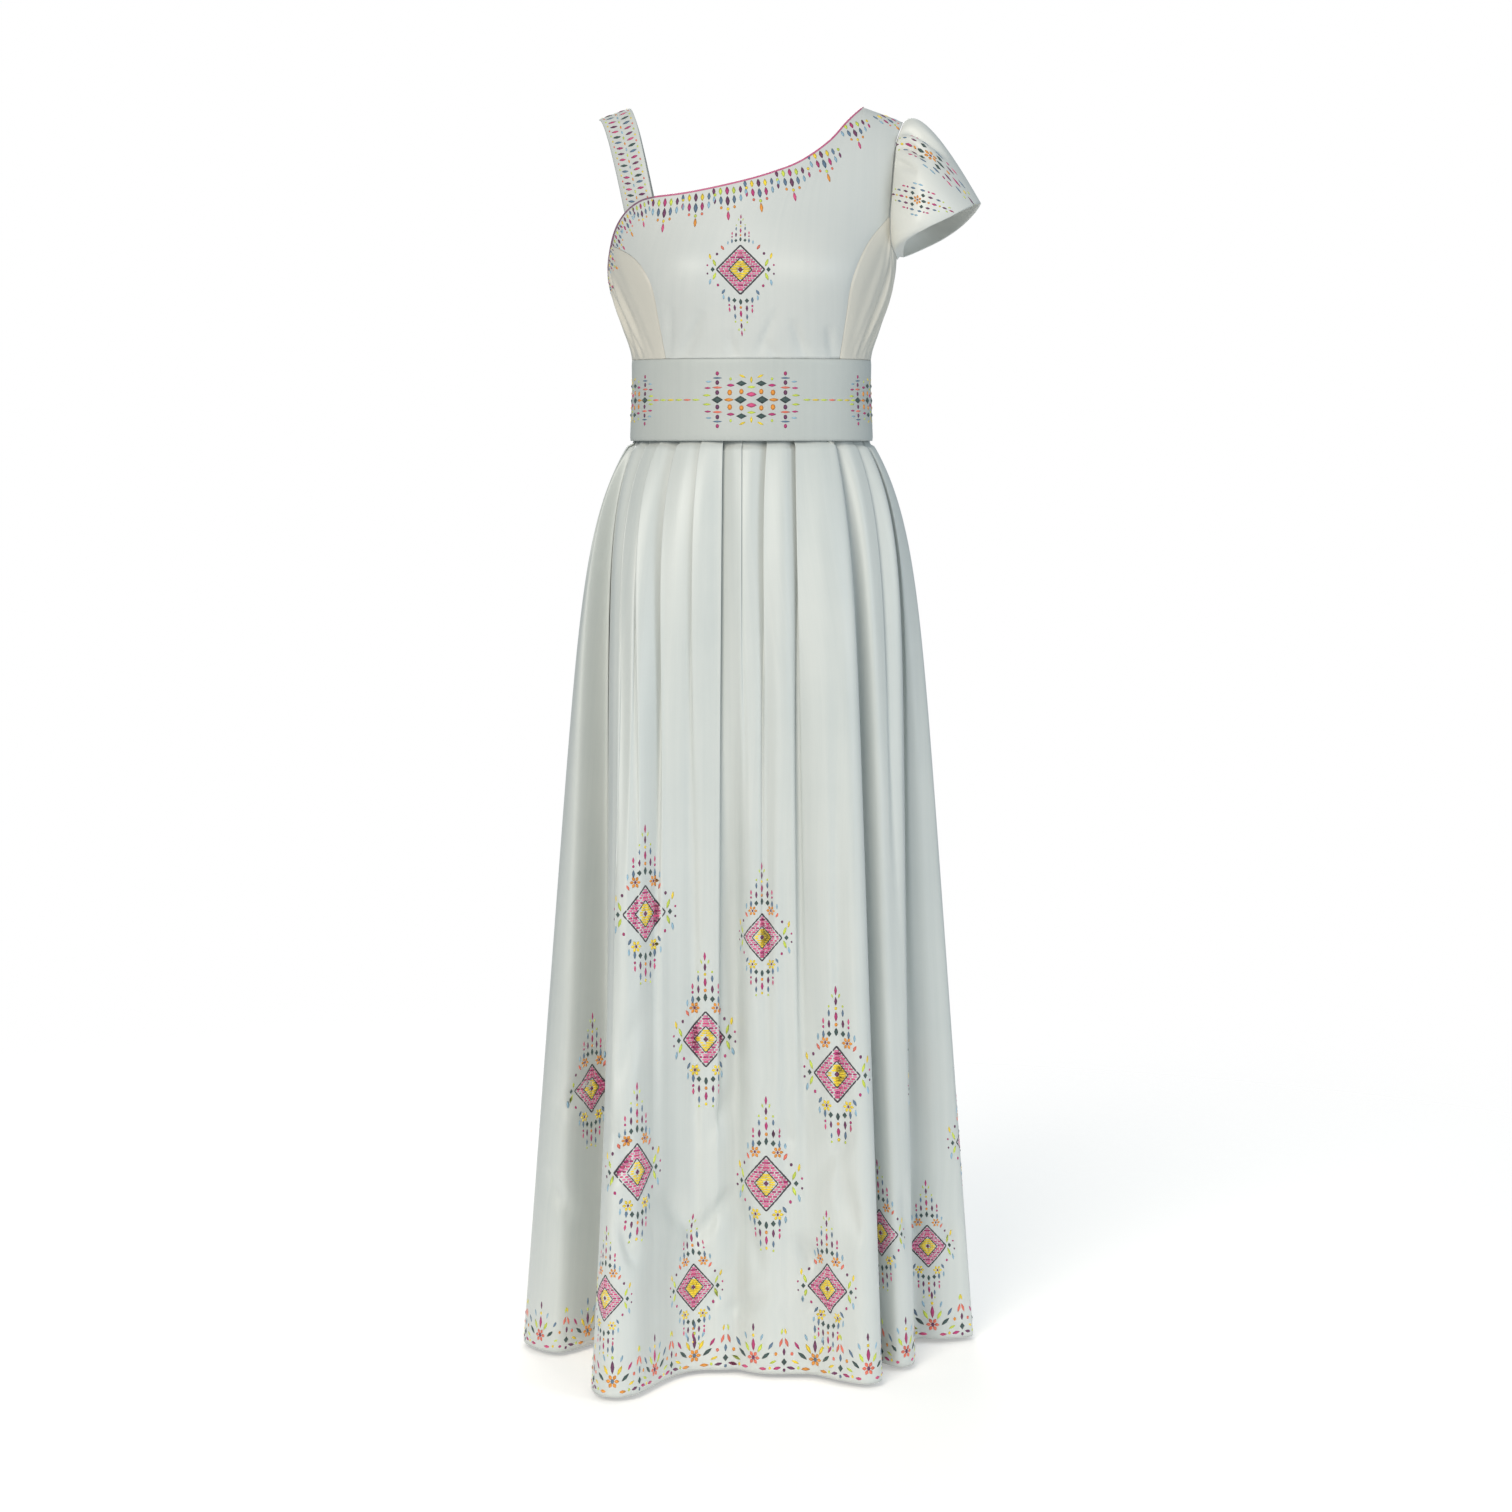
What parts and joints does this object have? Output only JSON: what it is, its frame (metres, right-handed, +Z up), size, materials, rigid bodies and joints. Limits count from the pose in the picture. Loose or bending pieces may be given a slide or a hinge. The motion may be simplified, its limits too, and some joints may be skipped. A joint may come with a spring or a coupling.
{
  "type": "dress",
  "caption": "Floor-length asymmetric dress with a strap over one shoulder, a gathered cap sleeve on the other, a fitted bodice, a wide waistband and a pleated skirt.",
  "frame": {"origin": "midway between the two shoulders, level with the top of them, where a wearer holds the dress up", "axes": "+Z up towards the head, the front of the dress faces -Y, the strap is on the -X side and the cap sleeve on the +X side"},
  "size_m": [0.5238, 0.4499, 1.4131],
  "materials": {
    "bodice_cloth": "embroidered dull satin",
    "bodice_side_cloth": "dull satin",
    "waistband_cloth": "interlined embroidered satin",
    "sleeve_cloth": "embroidered dull satin",
    "skirt_cloth": "heavy satin with a soft sheen"
  },
  "bodies": {
    "root": {"bodice_front_centre": "bodice_cloth", "bodice_front_side_under_strap": "bodice_side_cloth", "bodice_front_side_under_sleeve": "bodice_side_cloth", "waistband_front": "waistband_cloth", "bodice_back_centre": "bodice_cloth", "bodice_back_side_under_strap": "bodice_side_cloth", "bodice_back_side_under_sleeve": "bodice_side_cloth", "waistband_back": "waistband_cloth", "shoulder_strap": "bodice_cloth", "cap_sleeve": "sleeve_cloth", "skirt_front": "skirt_cloth", "skirt_side_under_sleeve": "skirt_cloth", "skirt_back_sleeve_half": "skirt_cloth", "skirt_back_strap_half": "skirt_cloth", "skirt_side_under_strap": "skirt_cloth"}
  },
  "joints": []
}
